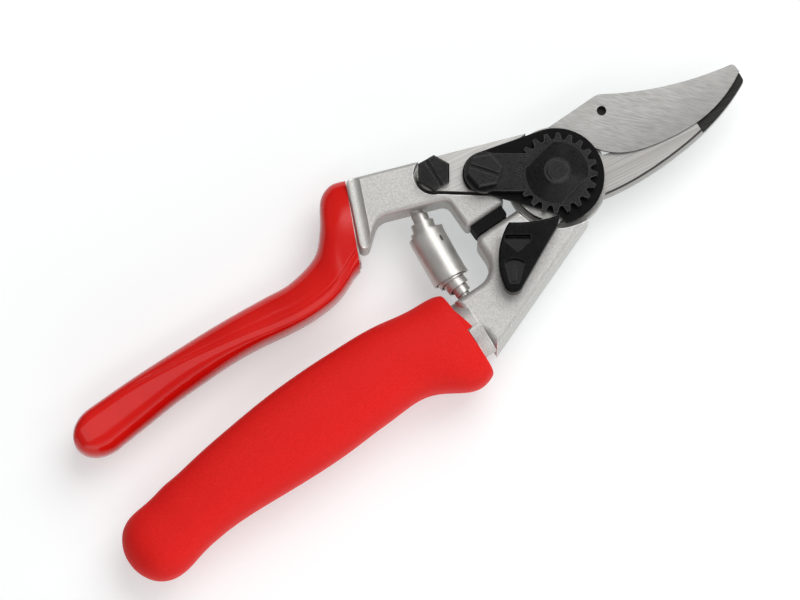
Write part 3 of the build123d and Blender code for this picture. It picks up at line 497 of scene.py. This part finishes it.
def make_spring():
    length = (SPRING_FOOT - SPRING_TOP).length
    shoulder = (1 - BARREL_LENGTH / length) / 2
    shape = bmesh.new()
    grid = []
    for step in range(HALF_TURNS * STEPS_PER_HALF + 1):
        turned = step / STEPS_PER_HALF
        angle = STRIP_END + math.pi * (HALF_TURNS - turned)
        radius = INNER_RADIUS + (OUTER_RADIUS - INNER_RADIUS) * turned / HALF_TURNS
        drawn_in = shoulder * min(turned / (HALF_TURNS - BARREL_HALF_TURNS), 1)
        shares = [drawn_in + (1 - 2 * drawn_in) * row / STRIP_ROWS for row in range(STRIP_ROWS + 1)]
        grid.append([shape.verts.new(spring_point(share, angle, radius)) for share in shares])
    eye_centre = spring_point(EYE_PLACE, EYE_ANGLE, OUTER_RADIUS)
    along = (SPRING_FOOT - SPRING_TOP).normalized()
    for here, after in zip(grid, grid[1:]):
        for row in range(STRIP_ROWS):
            corners = (here[row], here[row + 1], after[row + 1], after[row])
            offset = sum((corner.co for corner in corners), Vector()) / 4 - eye_centre
            lengthwise = offset.dot(along)
            across = (offset - along * lengthwise).length
            if (lengthwise / EYE_HALF_LENGTH) ** 2 + (across / EYE_HALF_WIDTH) ** 2 > 1:
                shape.faces.new(corners)
    bmesh.ops.recalc_face_normals(shape, faces=shape.faces)
    bmesh.ops.solidify(shape, geom=shape.faces, thickness=STRIP_THICKNESS)
    spring = add_piece(shape, "wound_spring", DRESS["spring_nickel"][0], STRIP_CREASE)
    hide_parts("volute_spring")
    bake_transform(spring)


make_spring()


# Coat of the upper grip: a ridge runs slantwise along its top, over a flat band and a round flank

COAT_START = Vector((-45.53, 29.87, 0)) * MM    # the arm's outer rear corner
COAT_END = Vector((-8.3, 0, 0)) * MM            # length of the round end
COAT_WALL = 1.8 * MM
COAT_SQUARENESS = 2.6     # of a section: 2 is an ellipse, more is squarer
END_SQUARENESS = 3.0      # of the round end, seen from the side
BAND_SLOPE = 0.29
FLANK_SLOPE = 0.50        # where the flank begins, below the band
GROOVE_DEPTH = 0.12 * MM  # of the hollow that sets the ridge off from the top
GROOVE_WIDTH = 1.1 * MM
COAT_CREASE = math.radians(50)
ROW_STEPS = 8             # rings from one row to the next
INSIDE_STEPS = 2          # the same on the inside
END_STEPS = 10
END_TURN = math.radians(88)    # just short of the tip, which one small face closes
CURVE_STEPS = 14
BAND_STEPS = 5
GROOVE_STEPS = 6
BOTTOM_STEPS = 24

# Millimetres from the coat's start: outer edge x and y, inner edge x and y, underside, top,
# the ridge's place as a share of the half width, and the band's width
COAT_ROWS = [
    (0.3, 0.6, -9.8, -21.2, 2.2, 16.6, -0.60, 1.6),
    (-3.6, 1.7, -12.2, -21.9, 1.9, 16.7, -0.68, 1.7),
    (-7.9, -0.1, -14.3, -22.8, 1.6, 16.8, -0.69, 1.8),
    (-12.5, -6.5, -17.4, -23.9, 0.8, 17.0, -0.62, 1.8),
    (-17.7, -11.5, -21.3, -24.6, 0.6, 17.0, -0.54, 1.8),
    (-26.5, -13.5, -27.5, -24.7, 0.4, 16.8, -0.47, 1.8),
    (-34.0, -12.9, -34.5, -24.0, 0.4, 16.6, -0.42, 1.7),
    (-41.5, -12.2, -42.0, -22.8, 0.4, 16.4, -0.31, 1.7),
    (-50.5, -11.6, -50.5, -22.1, 0.4, 16.2, -0.10, 1.8),
    (-59.5, -11.3, -59.5, -22.1, 0.4, 16.1, 0.17, 2.4),
    (-68.0, -11.1, -68.0, -22.3, 0.4, 16.3, 0.39, 3.7),
    (-76.5, -11.1, -76.5, -23.0, 0.4, 16.6, 0.57, 5.2),
    (-87.5, -11.3, -87.5, -23.9, 0.4, 16.8, 0.64, 6.0),
]


def row_between(before, start, end, after, share):
    """Row on the smooth curve from start to end."""
    row = []
    for a, b, c, d in zip(before, start, end, after):
        bend = (2 * a - 5 * b + 4 * c - d) * share ** 2 + (3 * b - a - 3 * c + d) * share ** 3
        row.append((2 * b + (c - a) * share + bend) / 2)
    return row


def rows_along(steps):
    """Rows from the coat's mouth to its end, with a number of steps from one to the next."""
    last = len(COAT_ROWS) - 1
    rows = []
    for index in range(last):
        near = [COAT_ROWS[min(max(index + shift, 0), last)] for shift in (-1, 0, 1, 2)]
        rows += [row_between(*near, step / steps) for step in range(steps)]
    return [*rows, COAT_ROWS[last]]


def coat_section(half, rise, crest, band, groove, hollow):
    """Points round a section, as (across, height) from its middle, from the inner side over the top."""
    power = 2 / COAT_SQUARENESS
    flank = half + crest - band
    brow = half - crest
    spots = []
    # Flank, from the inner side up to the band
    flank_rise = rise - band * BAND_SLOPE - flank * FLANK_SLOPE
    for step in range(CURVE_STEPS):
        angle = math.pi / 2 * step / CURVE_STEPS
        out = flank * math.cos(angle) ** power
        fall = band * BAND_SLOPE + out * FLANK_SLOPE + flank_rise * (1 - math.sin(angle) ** power)
        spots.append((crest - band - out, rise - fall))
    # Band, up to the ridge
    for step in range(BAND_STEPS):
        out = band * (1 - step / BAND_STEPS)
        spots.append((crest - out, rise - out * BAND_SLOPE))
    # Groove beyond the ridge
    for step in range(GROOVE_STEPS):
        out = groove * step / GROOVE_STEPS
        fall = rise * (1 - (1 - (out / brow) ** COAT_SQUARENESS) ** (1 / COAT_SQUARENESS))
        fall += hollow * math.sin(math.pi * step / GROOVE_STEPS) ** 2
        spots.append((crest + out, rise - fall))
    # Brow, down to the outer side
    groove_angle = math.acos((groove / brow) ** (1 / power))
    for step in range(CURVE_STEPS + 1):
        angle = groove_angle * (1 - step / CURVE_STEPS)
        spots.append((crest + brow * math.cos(angle) ** power, rise * math.sin(angle) ** power))
    # Underside, back to the inner side
    for step in range(1, BOTTOM_STEPS):
        angle = math.pi * step / BOTTOM_STEPS
        out = math.copysign(half * abs(math.cos(angle)) ** power, math.cos(angle))
        spots.append((out, -rise * math.sin(angle) ** power))
    return spots


def coat_ring(row, width=1.0, height=1.0, onward=0.0, wall=0.0):
    """Points round one row, drawn in by a wall, or smaller and further on for the round end."""
    outer_x, outer_y, inner_x, inner_y, bottom, top, ridge, band = row
    outer = Vector((outer_x, outer_y, 0)) * MM
    inner = Vector((inner_x, inner_y, 0)) * MM
    side = (outer - inner).normalized()
    middle = COAT_START + (outer + inner) / 2 + COAT_END * onward
    middle.z = (bottom + top) / 2 * MM
    half = (outer - inner).length / 2 * width - wall
    rise = (top - bottom) / 2 * MM * height - wall
    spots = coat_section(half, rise, ridge * half, band * MM * width,
                         GROOVE_WIDTH * width, GROOVE_DEPTH * width)
    return [middle + side * across + Vector((0, 0, up)) for across, up in spots]


def make_coat():
    rings = []
    for step in range(END_STEPS, 0, -1):
        angle = END_TURN * step / END_STEPS
        onward = math.sin(angle)
        height = (1 - onward ** END_SQUARENESS) ** (1 / END_SQUARENESS)
        rings.append(coat_ring(COAT_ROWS[-1], math.cos(angle), height, onward))
    rings += [coat_ring(row) for row in reversed(rows_along(ROW_STEPS))]
    rings += [coat_ring(row, wall=COAT_WALL) for row in rows_along(INSIDE_STEPS)]
    shape = bmesh.new()
    grid = [[shape.verts.new(point) for point in ring] for ring in rings]
    for here, after in zip(grid, grid[1:]):
        for index in range(len(here)):
            shape.faces.new((here[index - 1], here[index], after[index], after[index - 1]))
    shape.faces.new(grid[0])
    shape.faces.new(grid[-1])
    bmesh.ops.recalc_face_normals(shape, faces=shape.faces)
    coat = add_piece(shape, "dipped_coat", DRESS["grip_red_gloss"][0], COAT_CREASE)
    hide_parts("upper_grip_coating")
    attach(coat, "upper_arm")


make_coat()


# Camera

TURN = math.radians(34.5)
TILT = math.radians(81.0)
PIXELS_PER_MM = 3.88
PIVOT_PIXEL = (556.5, 185.0)
IMAGE = (800, 600)
CAMERA_DISTANCE = 2.5
MIDDLE_HEIGHT = 10 * MM
SENSOR_WIDTH = 36         # millimetres, as Blender takes it
CLIP_END = 10

camera_right = Vector((math.cos(TURN), -math.sin(TURN), 0))
table_up = Vector((math.sin(TURN), math.cos(TURN), 0))    # up in the picture, along the table
camera_up = table_up * math.sin(TILT) + Vector((0, 0, math.cos(TILT)))
camera_back = camera_right.cross(camera_up)


def make_camera():
    data = bpy.data.cameras.new("camera")
    camera = bpy.data.objects.new("camera", data)
    bpy.context.scene.collection.objects.link(camera)
    across = (IMAGE[0] / 2 - PIVOT_PIXEL[0]) / PIXELS_PER_MM * MM
    upward = (PIVOT_PIXEL[1] - IMAGE[1] / 2) / PIXELS_PER_MM * MM
    place = camera_right * across + camera_up * upward + camera_back * (CAMERA_DISTANCE + MIDDLE_HEIGHT)
    turn = Matrix((camera_right, camera_up, camera_back)).transposed().to_4x4()
    camera.matrix_world = Matrix.Translation(place) @ turn
    data.sensor_width = SENSOR_WIDTH
    data.lens = SENSOR_WIDTH * CAMERA_DISTANCE / (IMAGE[0] / PIXELS_PER_MM * MM)
    data.clip_end = CLIP_END
    bpy.context.scene.camera = camera


# Table and light

SHEARS_MIDDLE = Vector((-40, 0, 10)) * MM    # where the lamps point
FLOOR_REACH = 3
FLOOR_DROP = 0.5 * MM     # the table lies this far below the shears
FLOOR_LIFT = 0.42         # white added to the table for the camera, which keeps its shadow
FLOOR_GLOW = (0.955, 1, 1, 1)    # a little cool, against the red light from the grips
WALL_LIGHT = 0.15
CEILING_LIGHT = 0.32
REFLECTOR_LIGHT = 1.8
REFLECTOR_SIDE = camera_right * 0.5 - table_up * 0.87    # lower right of the picture


def make_area(name, place, size, power):
    data = bpy.data.lights.new(name, "AREA")
    data.shape = "RECTANGLE"
    data.size, data.size_y = size
    data.energy = power
    lamp = bpy.data.objects.new(name, data)
    bpy.context.scene.collection.objects.link(lamp)
    lamp.location = place
    lamp.rotation_euler = (SHEARS_MIDDLE - Vector(place)).to_track_quat("-Z", "Y").to_euler()


def make_floor():
    mesh = bpy.data.meshes.new("floor")
    corners = [(x * FLOOR_REACH, y * FLOOR_REACH, 0) for x, y in ((-1, -1), (1, -1), (1, 1), (-1, 1))]
    mesh.from_pydata(corners, [], [(0, 1, 2, 3)])
    floor = bpy.data.objects.new("floor", mesh)
    floor.location.z = -FLOOR_DROP
    bpy.context.scene.collection.objects.link(floor)
    material, tree, shader = new_material("floor_white")
    rays = add_node(tree, "ShaderNodeLightPath").outputs
    seen = calculate(tree, "MAXIMUM", rays["Is Camera Ray"], rays["Is Glossy Ray"])
    seen = calculate(tree, "MAXIMUM", seen, rays["Is Transmission Ray"])
    finish_shader(tree, shader, base_color=grey(0.66), roughness=0.9, emission_color=FLOOR_GLOW,
                  emission_strength=calculate(tree, "MULTIPLY", seen, FLOOR_LIFT))
    mesh.materials.append(material)


def make_world():
    """Grey studio ceiling over darker walls, with a white reflector at the lower right of the picture."""
    world = bpy.data.worlds.new("studio")
    bpy.context.scene.world = world
    world.use_nodes = True
    tree = world.node_tree
    direction = add_node(tree, "ShaderNodeTexCoord").outputs["Generated"]
    height = split(tree, direction)["Z"]
    ceiling = ramp(tree, height, -0.05, 0.7, WALL_LIGHT, CEILING_LIGHT)
    sideways = combine(tree, "DOT_PRODUCT", direction, REFLECTOR_SIDE)["Value"]
    reflector = calculate(tree, "MULTIPLY", ramp(tree, sideways, 0.3, 0.8), ramp(tree, height, 0.6, 0.2))
    reflector = calculate(tree, "MULTIPLY", reflector, REFLECTOR_LIGHT)
    sky = tree.nodes["Background"]
    sky.inputs["Color"].default_value = grey(1.0)
    feed(tree, calculate(tree, "ADD", ceiling, reflector), sky.inputs["Strength"])


make_camera()
make_area("key_softbox", place=(0.54, 0.29, 0.88), size=(0.9, 0.9), power=7.8)
make_area("strip_softbox", place=(-0.04, -0.42, 0.90), size=(1.8, 0.24), power=1.9)
make_floor()
make_world()
bpy.context.scene.view_settings.view_transform = "Standard"
